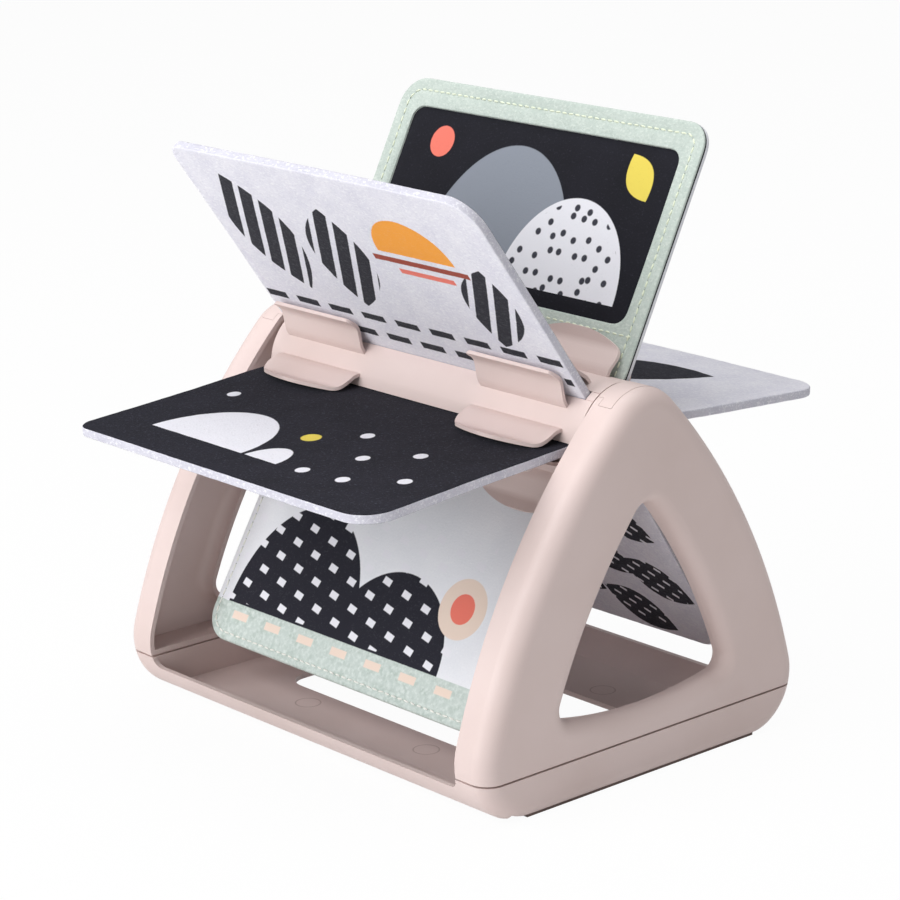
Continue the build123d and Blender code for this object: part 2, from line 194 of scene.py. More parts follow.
def shapeMask(tree, place, shape):
    # 1 inside the shape, 0 outside
    kind, size = shape["form"], shape["size"]
    local = addNode(tree, "ShaderNodeMapping", {"vector_type": "TEXTURE"},
                    {"Vector": place, "Location": (*shape["at"], 0),
                     "Rotation": (0, 0, math.radians(shape.get("turn", 0))), "Scale": (*size, 1)})
    flat = addNode(tree, "ShaderNodeVectorMath", {"operation": "MULTIPLY"}, {0: local, 1: (1, 1, 0)})
    parts = addNode(tree, "ShaderNodeSeparateXYZ", {}, {0: flat})
    away = addNode(tree, "ShaderNodeVectorMath", {"operation": "LENGTH"}, {0: flat}).outputs["Value"]
    if kind == "half":
        below = addNode(tree, "ShaderNodeMath", {"operation": "MULTIPLY_ADD"},
                        {0: parts.outputs[1], 1: -halfCut, 2: 1.0})
        away = addNode(tree, "ShaderNodeMath", {"operation": "MAXIMUM"}, {0: away, 1: below})
    elif kind in ("bar", "leaf"):
        across = addNode(tree, "ShaderNodeMath", {"operation": "ABSOLUTE"}, {0: parts.outputs[0]})
        along = addNode(tree, "ShaderNodeMath", {"operation": "ABSOLUTE"}, {0: parts.outputs[1]})
        if kind == "leaf":
            along = addNode(tree, "ShaderNodeMath", {"operation": "POWER"}, {0: along, 1: 2.0})
        else:
            # A bar's ends are as sharp as its sides
            long, wide = (side / min(size) for side in size)
            across = addNode(tree, "ShaderNodeMath", {"operation": "MULTIPLY_ADD"},
                             {0: across, 1: long, 2: 1 - long})
            along = addNode(tree, "ShaderNodeMath", {"operation": "MULTIPLY_ADD"},
                            {0: along, 1: wide, 2: 1 - wide})
        away = addNode(tree, "ShaderNodeMath", {"operation": "ADD" if kind == "leaf" else "MAXIMUM"},
                       {0: across, 1: along})
    soft = inkEdge / min(size)
    mask = addNode(tree, "ShaderNodeMapRange", {},
                   {"Value": away, 1: 1 - soft, 2: 1 + soft, 3: 1.0, 4: 0.0})
    if "fill" not in shape:
        return mask
    return addNode(tree, "ShaderNodeMath", {"operation": "MULTIPLY"},
                   {0: mask, 1: fillMask(tree, place, shape["fill"])})


def printedFabric(name, look, shapes=()):
    material, tree, shader = newMaterial(name)
    place = addNode(tree, "ShaderNodeAttribute", {"attribute_name": "pagePlace"}).outputs["Vector"]
    wool = addNode(tree, "ShaderNodeTexNoise", {},
                   {"Vector": place, "Scale": 1 / look["woolMm"], "Detail": 4.0, "Roughness": 0.65})
    # Short fibres lie in two directions
    fibres = []
    for turn in (33, -41):
        laid = addNode(tree, "ShaderNodeMapping", {},
                       {"Vector": place, "Rotation": (0, 0, math.radians(turn)),
                        "Scale": (look["fibreStretch"], 1.0, 1.0)})
        fibres.append(addNode(tree, "ShaderNodeTexNoise", {},
                              {"Vector": laid, "Scale": 1 / look["fibreMm"], "Detail": 3.0,
                               "Distortion": 0.4}))
    fibre = addNode(tree, "ShaderNodeMath", {"operation": "MAXIMUM"}, {0: fibres[0], 1: fibres[1]})
    cloud = addNode(tree, "ShaderNodeTexNoise", {},
                    {"Vector": place, "Scale": 1 / look["cloudMm"], "Detail": 2.0})
    # Ink runs a little along the fibres, so outlines are not knife sharp
    ragged = addNode(tree, "ShaderNodeVectorMath", {"operation": "MULTIPLY_ADD"},
                     {0: wool.outputs["Color"], 1: (look["bleedMm"],) * 3, 2: place})
    ragged = addNode(tree, "ShaderNodeVectorMath", {"operation": "SUBTRACT"},
                     {0: ragged, 1: (look["bleedMm"] / 2,) * 3})
    tone = addNode(tree, "ShaderNodeMapRange", {}, {"Value": cloud, 1: 0.3, 2: 0.7})
    colour = addNode(tree, "ShaderNodeMix", {"data_type": "RGBA"},
                     {0: tone, 6: srgb(look["shade"]), 7: srgb(look["colour"])}).outputs[2]
    fleck = addNode(tree, "ShaderNodeMapRange", {},
                    {"Value": fibre, 1: look["fleckFrom"], 2: look["fleckFrom"] + 0.12})
    # Darker colour in the nap's hollows, where the wool noise also lowers the bump: painted shade
    napShade = addNode(tree, "ShaderNodeMapRange", {}, {"Value": wool, 1: 0.25, 2: 0.5, 3: 1.0, 4: 0.0})
    for part, kind in ((fleck, "fleck"), (napShade, "napShade")):
        amount = addNode(tree, "ShaderNodeMath", {"operation": "MULTIPLY"},
                         {0: part, 1: look[kind + "Share"]})
        colour = addNode(tree, "ShaderNodeMix", {"data_type": "RGBA"},
                         {0: amount, 6: colour, 7: srgb(look[kind])}).outputs[2]
    # A few fibres stand through the ink
    cover = addNode(tree, "ShaderNodeMapRange", {}, {"Value": fleck, 3: 1.0, 4: 1 - look["inkGap"]})
    for shape in shapes:
        mask = addNode(tree, "ShaderNodeMath", {"operation": "MULTIPLY"},
                       {0: shapeMask(tree, ragged, shape), 1: cover})
        colour = addNode(tree, "ShaderNodeMix", {"data_type": "RGBA"},
                         {0: mask, 6: colour, 7: srgb(shape["ink"])}).outputs[2]
    nap = addNode(tree, "ShaderNodeMath", {"operation": "MULTIPLY_ADD"}, {0: fibre, 1: 0.6, 2: wool})
    bump = addNode(tree, "ShaderNodeBump", {},
                   {"Strength": look["bump"], "Distance": look["napMm"] / 1000, "Height": nap})
    tree.links.new(colour, shader.inputs["Base Color"])
    tree.links.new(bump.outputs[0], shader.inputs["Normal"])
    shader.inputs["Roughness"].default_value = look["roughness"]
    shader.inputs["Specular IOR Level"].default_value = 0.2
    shader.inputs["Sheen Weight"].default_value = look["sheen"]
    shader.inputs["Sheen Roughness"].default_value = 0.5
    return material


# White wool-blend felt, pressed and heat-set: a dull lavender white, woolly, with fine pits. Real fibres are
# near 0.03 mm thick; on all the fabrics they are drawn at about 1 mm so that they show
whiteFelt = {
    "colour": "#EAE9F1", "shade": "#E0DFEA", "cloudMm": 12.0,
    "fleck": "#F6F6FA", "fleckFrom": 0.56, "fleckShare": 0.6, "napShade": "#B4B3C6", "napShadeShare": 0.3,
    "woolMm": 1.0, "fibreMm": 1.0, "fibreStretch": 0.55, "inkGap": 0.03, "bleedMm": 0.5,
    "bump": 0.6, "napMm": 0.35, "roughness": 0.95, "sheen": 0.08,
}
# Sage felt: heathered from white and green fibres, so it looks speckled
sageFelt = {
    "colour": "#C6D1CA", "shade": "#BDC9C2", "cloudMm": 7.0,
    "fleck": "#DFE6DF", "fleckFrom": 0.55, "fleckShare": 0.5, "napShade": "#98A79E", "napShadeShare": 0.45,
    "woolMm": 1.1, "fibreMm": 0.9, "fibreStretch": 0.6, "inkGap": 0.1, "bleedMm": 0.5,
    "bump": 0.6, "napMm": 0.3, "roughness": 0.95, "sheen": 0.08,
}
# Black print on felt: dark, slightly blue, with lighter fibres that stand through the ink
blackFelt = {
    "colour": "#22222C", "shade": "#1D1D26", "cloudMm": 16.0,
    "fleck": "#4A4A58", "fleckFrom": 0.6, "fleckShare": 0.5, "napShade": "#0E0E14", "napShadeShare": 0.5,
    "woolMm": 0.8, "fibreMm": 0.8, "fibreStretch": 0.6, "inkGap": 0.1, "bleedMm": 0.5,
    "bump": 0.6, "napMm": 0.3, "roughness": 0.95, "sheen": 0.02,
}
# Printed polyester cloth over wadding: smoother than felt, with a close brushed weave
whiteCloth = {
    "colour": "#EBECF1", "shade": "#E4E6EC", "cloudMm": 20.0,
    "fleck": "#F5F6F8", "fleckFrom": 0.6, "fleckShare": 0.3, "napShade": "#C2C6D0", "napShadeShare": 0.15,
    "woolMm": 0.9, "fibreMm": 0.7, "fibreStretch": 0.6, "inkGap": 0.02, "bleedMm": 0.2,
    "bump": 0.35, "napMm": 0.2, "roughness": 0.85, "sheen": 0.05,
}
blackCloth = {
    "colour": "#1B1B24", "shade": "#16161E", "cloudMm": 22.0,
    "fleck": "#343440", "fleckFrom": 0.62, "fleckShare": 0.5, "napShade": "#0A0A0E", "napShadeShare": 0.4,
    "woolMm": 0.8, "fibreMm": 0.7, "fibreStretch": 0.6, "inkGap": 0.06, "bleedMm": 0.2,
    "bump": 0.35, "napMm": 0.2, "roughness": 0.8, "sheen": 0.02,
}

inkBlack, inkOrange, inkBrown = "#23232D", "#F5A23C", "#9C4636"
inkCoral, inkYellow, inkGrey, inkPeach = "#EC7C6C", "#E3CF5C", "#8B919C", "#EAD6C8"
inkWhite, inkSage, inkMoss, inkMist = "#E8E8EF", "#C3CEC9", "#AFBDB6", "#DAE2DE"
inkDot = "#3A3A44"
stripeFill = {"form": "stripes", "turn": 62, "pitch": 9.4, "width": 6.6}
wholeFace = {"form": "bar", "at": (0, 52), "size": (90, 56)}
outerBand = {"form": "bar", "at": (0, 97), "size": (90, 8)}


def dashRow(v, start):
    # A row of long dashes along the hub
    return {"form": "bar", "at": (0, v), "size": (83.5, 1.75), "ink": inkBlack,
            "fill": {"form": "stripes", "turn": 90, "pitch": 19.5, "width": 13.0, "from": (start, 0)}}


# What is printed on each page: the face seen from the front or from above first, then the other face
prints = {
    "white_felt_page": (
        [{"form": "leaf", "at": (16, 56), "size": (19, 40), "turn": -58, "ink": inkBlack}],
        [{"form": "bar", "at": (0, 52), "size": (82, 48), "ink": inkBlack,
          "fill": {"form": "dashes", "pitch": 13, "width": 3.4, "step": 21, "length": 12}}]),
    "green_border_page": (
        [{"form": "half", "at": (-6, 30), "size": (40, 54), "ink": inkGrey},
         {"form": "half", "at": (34, 30), "size": (32, 38), "ink": inkWhite},
         {"form": "half", "at": (34, 30), "size": (30, 36), "ink": inkDot,
          "fill": {"form": "dots", "pitch": 7.0, "share": 0.2}},
         {"form": "disc", "at": (-52, 80), "size": (6.5, 6.5), "ink": inkCoral},
         {"form": "leaf", "at": (58, 80), "size": (6.5, 11), "turn": 38, "ink": inkYellow}],
        [{**wholeFace, "ink": inkSage, "fill": {"form": "dots", "pitch": 16.0, "share": 0.26}}]),
    "striped_felt_page": (
        [{"form": "leaf", "at": (x, v), "size": size, "turn": turn, "ink": inkBlack, "fill": stripeFill}
         for x, v, size, turn in ((-56, 62, (19, 31), 12), (-14, 56, (17, 27), -8),
                                  (62, 46, (14, 22), -16))]
        + [{"form": "half", "at": (34, 66), "size": (21, 19), "ink": inkOrange},
           {"form": "bar", "at": (34, 62), "size": (26, 1.4), "ink": inkBrown},
           {"form": "bar", "at": (34, 56.5), "size": (15, 1.3), "ink": inkCoral},
           dashRow(22.5, 0.0), dashRow(12.5, 8.0)],
        [{**wholeFace, "ink": inkBlack}]),
    "black_felt_page": (
        [{"form": "half", "at": (x, v), "size": size, "turn": 180, "ink": inkWhite}
         for x, v, size in ((-34, 84, (27, 34)), (4, 84, (9, 14)))]
        + [{"form": "disc", "at": spot, "size": (2.8, 2.8), "ink": inkWhite}
           for spot in ((16, 42), (34, 60), (50, 46), (26, 82), (46, 80), (66, 68), (-66, 40))]
        + [{"form": "disc", "at": (0, 56), "size": (4, 4), "ink": inkYellow}],
        [{"form": "disc", "at": (30, 60), "size": (20, 20), "ink": inkWhite}]),
    "banded_fabric_page": (
        [{"form": "half", "at": (-40, 89.5), "size": (36, 48), "turn": 180, "ink": inkBlack},
         {"form": "half", "at": (16, 89.5), "size": (32, 34), "turn": 180, "ink": inkBlack},
         {"form": "bar", "at": (-12, 62), "size": (66, 26), "ink": inkWhite,
          "fill": {"form": "dashes", "turn": 12, "pitch": 8.4, "width": 2.8, "step": 12.6, "length": 4.6}},
         {"form": "disc", "at": (48, 62), "size": (12, 12), "ink": inkPeach},
         {"form": "disc", "at": (48, 62), "size": (6, 6), "ink": inkCoral},
         {**outerBand, "ink": inkSage},
         {**outerBand, "ink": inkMoss, "fill": {"form": "heather", "pitch": 3.2, "share": 0.9}},
         {**outerBand, "ink": inkMist, "fill": {"form": "heather", "turn": 40, "pitch": 1.7, "share": 0.8}}]
        + [{"form": "bar", "at": (u, 93.5), "size": (4.5, 1.6), "ink": inkPeach}
           for u in range(-66, 76, 20)],
        [{**wholeFace, "ink": inkCoral, "fill": {"form": "dots", "pitch": 18.0, "share": 0.24}}]),
    "dashed_felt_page": (
        [{"form": "leaf", "at": (x, v), "size": (10, 18), "turn": turn, "ink": inkBlack}
         for x, v, turn in ((62, 34, -62), (40, 58, -58), (66, 68, -64), (14, 76, -60), (46, 90, -62),
                            (-14, 50, -58), (-40, 78, -62), (-62, 44, -60))]
        + [{"form": "bar", "at": (2, 60), "size": (76, 36), "ink": inkWhite,
            "fill": {"form": "dashes", "turn": 28, "pitch": 5.2, "width": 1.3, "step": 7.2,
                     "length": 3.4}}],
        [{"form": "half", "at": (0, 84), "size": (46, 44), "turn": 180, "ink": inkSage}]),
}
print("print designs ready")


# Pages: the same planes and outlines as the solids, in millimetres until the mesh is made
pageRule = {"axisHeight": 128.0, "phase": 4.1, "pitch": 60.0, "pivot": 19.0, "root": 16.4, "clipEnd": 38.0,
            "leastCorner": 1.2}
# Length, reach from the hub axis, thickness and the corner radii: inner left and right, outer left and right
feltBoard = (170.0, 119.2, 3.6, (5.0, 5.0, 7.0, 13.0))
clothBoard = (168.0, 121.0, 3.4, (5.0, 5.0, 12.0, 10.0))
pageSizes = {
    # slot, board, lean, side that is seen (1 towards the next slot)
    "white_felt_page": (0, feltBoard, -7.3, 1),
    "green_border_page": (1, clothBoard, -0.8, 1),
    "striped_felt_page": (2, feltBoard, 2.2, 1),
    "black_felt_page": (3, feltBoard, 0.4, -1),
    "banded_fabric_page": (4, clothBoard, -4.6, -1),
    "dashed_felt_page": (5, feltBoard, -0.4, -1),
}


def pageFrame(slot, lean, side):
    # Turns (u, v from the inner edge, height over the seen face's side) to metres in the shared frame
    angle = math.radians(pageRule["phase"] + slot * pageRule["pitch"])
    tilt = angle + math.radians(lean)
    outwards = np.array([0, math.cos(tilt), math.sin(tilt)])
    offPage = np.array([0, -math.sin(tilt), math.cos(tilt)]) * side
    pivot = np.array([0, math.cos(angle), math.sin(angle)]) * pageRule["pivot"]
    axis = np.array([0, 0, pageRule["axisHeight"]])
    start = pivot + axis - outwards * (pageRule["pivot"] - pageRule["root"])
    return lambda p: (start + np.outer(p[:, 0], [1.0, 0, 0]) + np.outer(p[:, 1], outwards)
                      + np.outer(p[:, 2], offPage)) / 1000


def pageOutline(board, inset=0.0):
    # Left, right, inner and outer limits, then the corner radii
    length, reach, _, corners = board
    limits = [inset - length / 2, length / 2 - inset, inset, reach - pageRule["root"] - inset]
    return np.array(limits + [max(c - inset, pageRule["leastCorner"]) for c in corners])


def roundedPlace(s, t, outline):
    # Square grid coordinates from -1 to 1 to places inside an outline with rounded corners
    halfLength, halfWidth = (outline[1] - outline[0]) / 2, (outline[3] - outline[2]) / 2
    corner = outline[4 + (s > 0) + 2 * (t > 0)]
    u, v = s * halfLength, t * halfWidth
    a = np.clip((np.abs(u) - (halfLength - corner)) / corner, 0, None)
    b = np.clip((np.abs(v) - (halfWidth - corner)) / corner, 0, None)
    inCorner = (a > 0) & (b > 0)
    x, y = a * np.sqrt(1 - b * b / 2), b * np.sqrt(1 - a * a / 2)
    u = np.where(inCorner, np.sign(u) * (halfLength - corner + corner * x), u)
    v = np.where(inCorner, np.sign(v) * (halfWidth - corner + corner * y), v)
    return u + (outline[0] + outline[1]) / 2, v + (outline[2] + outline[3]) / 2


def boardMesh(step, front, rings, back):
    # Closed board: a front grid, rings and a back grid. A ring is an outline, its height and the finish of
    # the strip that ends there
    size = back[0][1] - back[0][0], back[0][3] - back[0][2]
    across, along = round(size[0] / step), round(size[1] / step)
    s, t = np.meshgrid(np.linspace(-1, 1, across + 1), np.linspace(-1, 1, along + 1), indexing="ij")
    number = np.arange(s.size).reshape(s.shape)
    loop = np.concatenate([number[:-1, 0], number[-1, :-1], number[:0:-1, -1], number[0, :0:-1]])

    def laid(outline, height, ss, tt):
        u, v = roundedPlace(ss, tt, outline)
        return np.stack([u.ravel(), v.ravel(), np.full(u.size, height)], 1)

    quads = np.stack([number[:-1, :-1], number[1:, :-1], number[1:, 1:], number[:-1, 1:]], -1)
    quads = quads.reshape(-1, 4)
    points, faces, kinds = [laid(*front, s, t)], [quads], [np.zeros(len(quads), int)]
    count, last = number.size, loop
    for outline, height, kind in rings:
        points.append(laid(outline, height, s.ravel()[loop], t.ravel()[loop]))
        here = np.arange(len(loop)) + count
        faces.append(np.stack([last, here, np.roll(here, -1), np.roll(last, -1)], 1))
        kinds.append(np.full(len(loop), kind))
        last, count = here, count + len(loop)
    points.append(laid(*back, s, t))
    here = loop + count
    faces += [np.stack([last, here, np.roll(here, -1), np.roll(last, -1)], 1), quads[:, ::-1] + count]
    kinds += [np.full(len(loop), 1), np.ones(len(quads), int)]
    return np.concatenate(points), np.concatenate(faces), np.concatenate(kinds)


def meshObject(name, points, faces, kinds, place, materials, flip):
    # Page millimetres to an object whose place is in its mesh; the page coordinates are kept for the prints
    if flip:
        faces = faces[:, ::-1]
    mesh = bpy.data.meshes.new(name)
    mesh.from_pydata(place(points).tolist(), [], faces.tolist())
    keep = mesh.attributes.new("pagePlace", "FLOAT_VECTOR", "POINT")
    keep.data.foreach_set("vector", points.astype(np.float32).ravel())
    for material in materials:
        mesh.materials.append(material)
    mesh.polygons.foreach_set("material_index", kinds.astype(np.int32))
    mesh.polygons.foreach_set("use_smooth", np.ones(len(faces), bool))
    mesh.update()
    piece = bpy.data.objects.new(name, mesh)
    bpy.context.scene.collection.objects.link(piece)
    return piece


def edgeRound(board, radius, kinds, rows=3):
    # Rings that turn a board's edge from the front face to the back face; kinds are front, edge and back
    half = board[2] / 2
    turns = [(radius * (1 - math.sin(a)), radius * (1 - math.cos(a)))
             for a in np.radians([0, 25, 50, 75, 90])]
    rings = [(pageOutline(board, i), half - drop, kinds[0] if n < 3 else kinds[1])
             for n, (i, drop) in enumerate(turns)]
    rings += [(pageOutline(board), z, kinds[1])
              for z in np.linspace(half - radius, radius - half, rows + 2)[1:-1]]
    rings += [(pageOutline(board, i), drop - half, kinds[1] if n < 3 else kinds[2])
              for n, (i, drop) in enumerate(reversed(turns))]
    return rings


# Felt pages: die-cut boards, a little wavy past the clips. The print runs over the cut's rounded edge
feltRule = {
    "stepMm": 1.7,
    "edgeMm": 0.75,
    "blackEdgeMm": 0.4,
    "faceIn": 0.8,           # the face's grid ends this far inside the rounded edge
    "waveMm": 0.45,
    "waveLengthMm": 70.0,
    "freeMm": 30.0,          # the wave grows over this width past the clips
    "lumpMm": 0.08,
    "lumpLengthMm": 4.0,
    "slotStep": 40.0,        # sets the pages' waves apart
}
# The cut edge is a darker copy of the white felt: painted shade on the board's side
shadedFeltEdge = printedFabric("wool_felt_cut_edge_shaded", {**whiteFelt, "colour": "#D3D2DC", "shade": "#CAC9D5",
                                                "napShadeShare": 0.45, "woolMm": 0.8})
feltPages = {"white_felt_page": whiteFelt, "striped_felt_page": whiteFelt, "black_felt_page": blackFelt,
             "dashed_felt_page": whiteFelt}
for pageName, felt in feltPages.items():
    slot, board, lean, side = pageSizes[pageName]
    half = board[2] / 2
    edge = feltRule["blackEdgeMm"] if felt is blackFelt else feltRule["edgeMm"]
    face = pageOutline(board, edge + feltRule["faceIn"])
    rings = edgeRound(board, edge, (0, 2, 1))
    points, faces, kinds = boardMesh(feltRule["stepMm"], (face, half), rings, (face, -half))
    flat = points.copy()
    for i, (u, v, z) in enumerate(flat):
        free = min(max((v + pageRule["root"] - pageRule["clipEnd"]) / feltRule["freeMm"], 0), 1)
        shift = feltRule["slotStep"] * slot
        wave = noise.noise(Vector((u, v, shift)) / feltRule["waveLengthMm"])
        lump = noise.noise(Vector((u, v, z * 3 + shift)) / feltRule["lumpLengthMm"])
        points[i, 2] += free * wave * feltRule["waveMm"] + lump * feltRule["lumpMm"] * (1 if z > 0 else -1)
    front = printedFabric(pageName + "_front_print", felt, prints[pageName][0])
    back = printedFabric(pageName + "_back_print", felt, prints[pageName][1])
    piece = meshObject(pageName + "_felt", points, faces, kinds, pageFrame(slot, lean, side),
                       [front, back, shadedFeltEdge], side < 0)
    piece.data.attributes["pagePlace"].data.foreach_set("vector", flat.astype(np.float32).ravel())
    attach(piece, "spinner")
    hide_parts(pageName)


# Stitches: a Geometry Nodes tree lays short threads along a path of edges
def stitchTree():
    tree = bpy.data.node_groups.new("lockstitch_row", "GeometryNodeTree")
    tree.interface.new_socket("Geometry", in_out="INPUT", socket_type="NodeSocketGeometry")
    for name, value in (("stitchLength", 0.0032), ("stitchGap", 0.001), ("threadRadius", 0.0003)):
        tree.interface.new_socket(name, in_out="INPUT", socket_type="NodeSocketFloat").default_value = value
    tree.interface.new_socket("seed", in_out="INPUT", socket_type="NodeSocketInt").default_value = 3
    tree.interface.new_socket("thread", in_out="INPUT", socket_type="NodeSocketMaterial")
    tree.interface.new_socket("Geometry", in_out="OUTPUT", socket_type="NodeSocketGeometry")
    given = tree.nodes.new("NodeGroupInput").outputs
    path = addNode(tree, "GeometryNodeMeshToCurve", {}, {"Mesh": given["Geometry"]})
    pace = addNode(tree, "ShaderNodeMath", {"operation": "ADD"},
                   {0: given["stitchLength"], 1: given["stitchGap"]})
    spots = addNode(tree, "GeometryNodeCurveToPoints", {"mode": "LENGTH"}, {"Curve": path, "Length": pace})
    aim = addNode(tree, "FunctionNodeAlignRotationToVector", {"axis": "Z"},
                  {"Vector": spots.outputs["Tangent"]})
    skew = addNode(tree, "FunctionNodeRandomValue", {"data_type": "FLOAT_VECTOR"},
                   {0: (-0.12, -0.12, -0.3), 1: (0.12, 0.12, 0.3), "Seed": given["seed"]})
    turned = addNode(tree, "FunctionNodeRotateRotation", {"rotation_space": "LOCAL"}, {0: aim, 1: skew})
    half = addNode(tree, "ShaderNodeMath", {"operation": "MULTIPLY"}, {0: given["stitchLength"], 1: 0.5})
    shape = addNode(tree, "ShaderNodeCombineXYZ", {},
                    {0: given["threadRadius"], 1: given["threadRadius"], 2: half})
    bead = addNode(tree, "GeometryNodeMeshUVSphere", {}, {"Segments": 8, "Rings": 6, "Radius": 1.0})
    threads = addNode(tree, "GeometryNodeInstanceOnPoints", {},
                      {"Points": spots, "Instance": bead, "Rotation": turned, "Scale": shape})
    whole = addNode(tree, "GeometryNodeRealizeInstances", {}, {0: threads})
    dressed = addNode(tree, "GeometryNodeSetMaterial", {}, {"Geometry": whole, "Material": given["thread"]})
    addNode(tree, "NodeGroupOutput", {}, {0: dressed})
    return tree


lockstitch = stitchTree()


def sewRow(name, paths, row, thread):
    # paths are rows of points in metres
    points, edges = [], []
    for path in paths:
        start = len(points)
        points += [tuple(p) for p in path]
        edges += [(start + i, start + i + 1) for i in range(len(path) - 1)]
    mesh = bpy.data.meshes.new(name)
    mesh.from_pydata(points, edges, [])
    guide = bpy.data.objects.new(name + "_path", mesh)
    bpy.context.scene.collection.objects.link(guide)
    sewing = guide.modifiers.new("sewing", "NODES")
    sewing.node_group = lockstitch
    for item in lockstitch.interface.items_tree:
        if item.in_out == "INPUT" and item.name in row:
            sewing[item.identifier] = row[item.name]
        if item.in_out == "INPUT" and item.name == "thread":
            sewing[item.identifier] = thread
    made = bpy.data.meshes.new_from_object(guide.evaluated_get(bpy.context.evaluated_depsgraph_get()))
    made.name = name
    bpy.data.objects.remove(guide)
    if not made.materials:
        made.materials.append(thread)
    made.polygons.foreach_set("use_smooth", np.ones(len(made.polygons), bool))
    stitches = bpy.data.objects.new(name, made)
    bpy.context.scene.collection.objects.link(stitches)
    return stitches


# Polyester sewing thread: pale, twisted, a little shiny
threadTwist = 900.0          # puts the turns of the twist about 0.7 mm apart


def sewingThread(name, colour, shade):
    material, tree, shader = newMaterial(name)
    place = addNode(tree, "ShaderNodeTexCoord").outputs["Object"]
    # The darker diagonal bands are painted shade between the turns of the twist
    twist = addNode(tree, "ShaderNodeTexWave", {"bands_direction": "DIAGONAL"},
                    {"Vector": place, "Scale": threadTwist})
    yarn = addNode(tree, "ShaderNodeMix", {"data_type": "RGBA"},
                   {0: twist.outputs["Fac"], 6: srgb(shade), 7: srgb(colour)})
    tree.links.new(yarn.outputs[2], shader.inputs["Base Color"])
    shader.inputs["Roughness"].default_value = 0.55
    return material


# Padded cloth pages: sewn round the edge, swollen a little by their wadding
padRule = {
    "stepMm": 3.0,
    "pressure": 4.0,
    "stretchStiff": 40,
    "bendStiff": 2,
    "frames": 20,
    "capMm": 0.45,           # the cloth swells no further than this
    "edgeMm": 1.3,
    "faceIn": 3.6,           # the face's grid ends this far inside the stitch row
    "seamDrop": 0.34,
    "threadSink": 0.16,      # stitches and needle holes lie this far below the face
    "holeSink": 0.3,
    "holeLength": 0.0006,
    "holeRadius": 0.00024,
}
# Section of a seam: how far in from the stitch row, and the share of the seam's drop there
seamSection = ((2.2, 0.0), (0.9, 0.18), (0.35, 0.65), (0.0, 1.0), (-0.35, 0.65), (-0.9, 0.18))
sewnPages = {
    "green_border_page": {
        "stitchIn": 5.0, "stitchLength": 0.0026, "stitchGap": 0.0009, "threadRadius": 0.0004,
        "yarn": ("sewing_thread_pale_green", "#EEF3E0", "#E2EACF"),
        "rowAt": 20.4,       # a straight row across the page, just past the clips
        "panel": (-74.0, 74.5, 23.8, 93.0, 5.5, 5.5, 5.5, 5.5), "panelDrop": 0.8, "panelGap": 0.35,
        "layers": (1.1, 1.8),
    },
    "banded_fabric_page": {
        "stitchIn": 3.2, "stitchLength": 0.0028, "stitchGap": 0.0008, "threadRadius": 0.0004,
        "yarn": ("sewing_thread_white", "#F6F6F1", "#E6E6DE"),
    },
}


def swell(piece, pinned, rule):
    # Cloth with a little pressure inside, held at the stitch rows and in the clips
    rest = np.empty(len(piece.data.vertices) * 3)
    piece.data.vertices.foreach_get("co", rest)
    rest = rest.reshape(-1, 3)
    group = piece.vertex_groups.new(name="held")
    group.add([int(i) for i in pinned], 1.0, "REPLACE")
    cloth = piece.modifiers.new("wadding", "CLOTH")
    cloth.settings.use_pressure = True
    cloth.settings.uniform_pressure_force = rule["pressure"]
    cloth.settings.vertex_group_mass = "held"
    cloth.settings.effector_weights.gravity = 0
    cloth.settings.tension_stiffness = rule["stretchStiff"]
    cloth.settings.compression_stiffness = rule["stretchStiff"]
    cloth.settings.bending_stiffness = rule["bendStiff"]
    cloth.point_cache.frame_end = rule["frames"]
    for step in range(1, rule["frames"] + 1):
        bpy.context.scene.frame_set(step)
    made = piece.evaluated_get(bpy.context.evaluated_depsgraph_get()).to_mesh()
    swollen = np.empty(len(made.vertices) * 3)
    made.vertices.foreach_get("co", swollen)
    piece.evaluated_get(bpy.context.evaluated_depsgraph_get()).to_mesh_clear()
    piece.modifiers.remove(cloth)
    piece.vertex_groups.clear()
    bpy.context.scene.frame_set(1)
    move = swollen.reshape(-1, 3) - rest
    far = np.linalg.norm(move, axis=1, keepdims=True)
    move *= np.minimum(1, rule["capMm"] / 1000 / np.maximum(far, 1e-9))
    print(piece.name, "swelled by up to", round(float(far.max()) * 1000, 2), "mm before the cap")
    piece.data.vertices.foreach_set("co", (rest + move).ravel())
    piece.data.update()


def smoothed(piece):
    # One subdivision, made part of the mesh
    finer = piece.modifiers.new("soft", "SUBSURF")
    finer.levels = finer.render_levels = 1
    made = bpy.data.meshes.new_from_object(piece.evaluated_get(bpy.context.evaluated_depsgraph_get()))
    piece.modifiers.remove(finer)
    old = piece.data
    piece.data = made
    made.name = piece.name
    bpy.data.meshes.remove(old)


